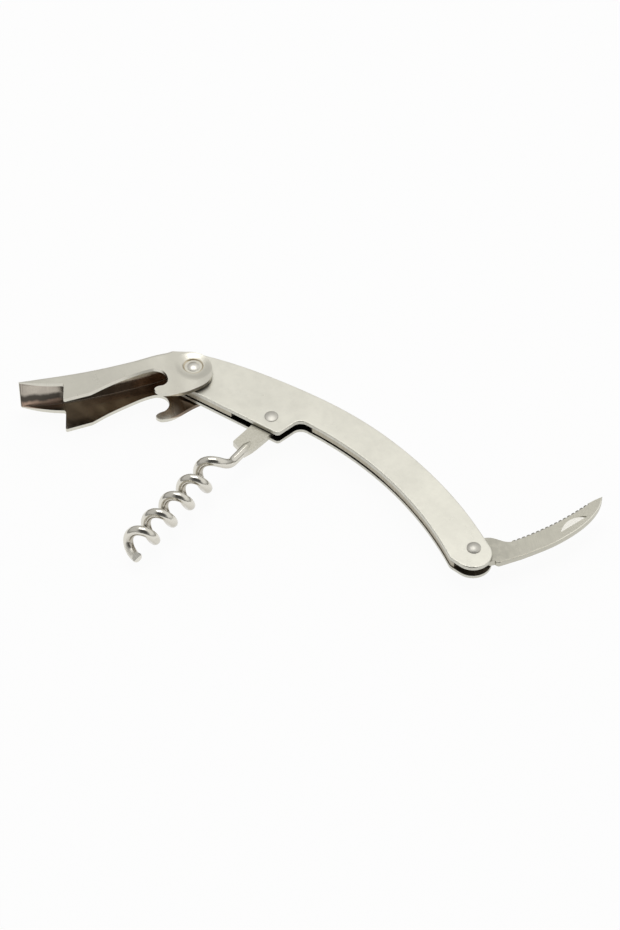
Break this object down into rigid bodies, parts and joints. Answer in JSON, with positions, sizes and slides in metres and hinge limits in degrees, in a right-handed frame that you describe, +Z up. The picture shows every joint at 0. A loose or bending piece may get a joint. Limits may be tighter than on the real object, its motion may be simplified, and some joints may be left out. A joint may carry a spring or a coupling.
{
  "type": "waiter corkscrew",
  "caption": "Folding all-metal waiter's corkscrew with a curved two-sheet handle, a coiled wire worm, a single-step bottle lever with cap hook, and a serrated foil knife.",
  "frame": {"origin": "centre of the part's plan box, at the height of the surface it lies on, with the tool on its side", "axes": "+X along the handle from the lever pivot to the knife pivot, +Y towards the handle's curved back, +Z up along the rivets"},
  "size_m": [0.1564, 0.102, 0.0141],
  "materials": {
    "cheek_steel": "satin stainless sheet",
    "spring_steel": "as-rolled edge of hardened plate",
    "lever_steel": "satin stainless sheet",
    "rivet_steel": "polished",
    "worm_steel": "polished wire",
    "knife_steel": "fine satin"
  },
  "bodies": {
    "root": {"upper_cheek": "cheek_steel", "lower_cheek": "cheek_steel", "spring_plate": "spring_steel", "worm_rivet": "rivet_steel", "knife_rivet": "rivet_steel"},
    "lever_pin": {"lever_rivet": "rivet_steel"},
    "lever": {"lever": "lever_steel"},
    "worm": {"worm": "worm_steel"},
    "knife": {"knife_blade": "knife_steel"}
  },
  "joints": [
    {"name": "worm_fold", "type": "hinge", "parent": "root", "child": "worm", "pos_m": [-0.01474, 0.01231, 0.00703], "axis": [0, 0, 1], "range_deg": [0, 81]},
    {"name": "lever_carry", "type": "hinge", "parent": "root", "child": "lever_pin", "pos_m": [-0.04424, 0.01141, 0.00703], "axis": [0, 0, 1], "range_deg": [0, 49]},
    {"name": "lever_swing", "type": "hinge", "parent": "lever_pin", "child": "lever", "pos_m": [-0.04424, 0.01141, 0.00703], "axis": [0, 0, 1], "range_deg": [-45, 61]},
    {"name": "knife_fold", "type": "hinge", "parent": "root", "child": "knife", "pos_m": [0.06076, 0.01141, 0.00703], "axis": [0, 0, 1], "range_deg": [-70, 90]}
  ],
  "couplings": [
    {"joint": "lever_carry", "follows": "worm_fold", "ratio": 0.6}
  ]
}
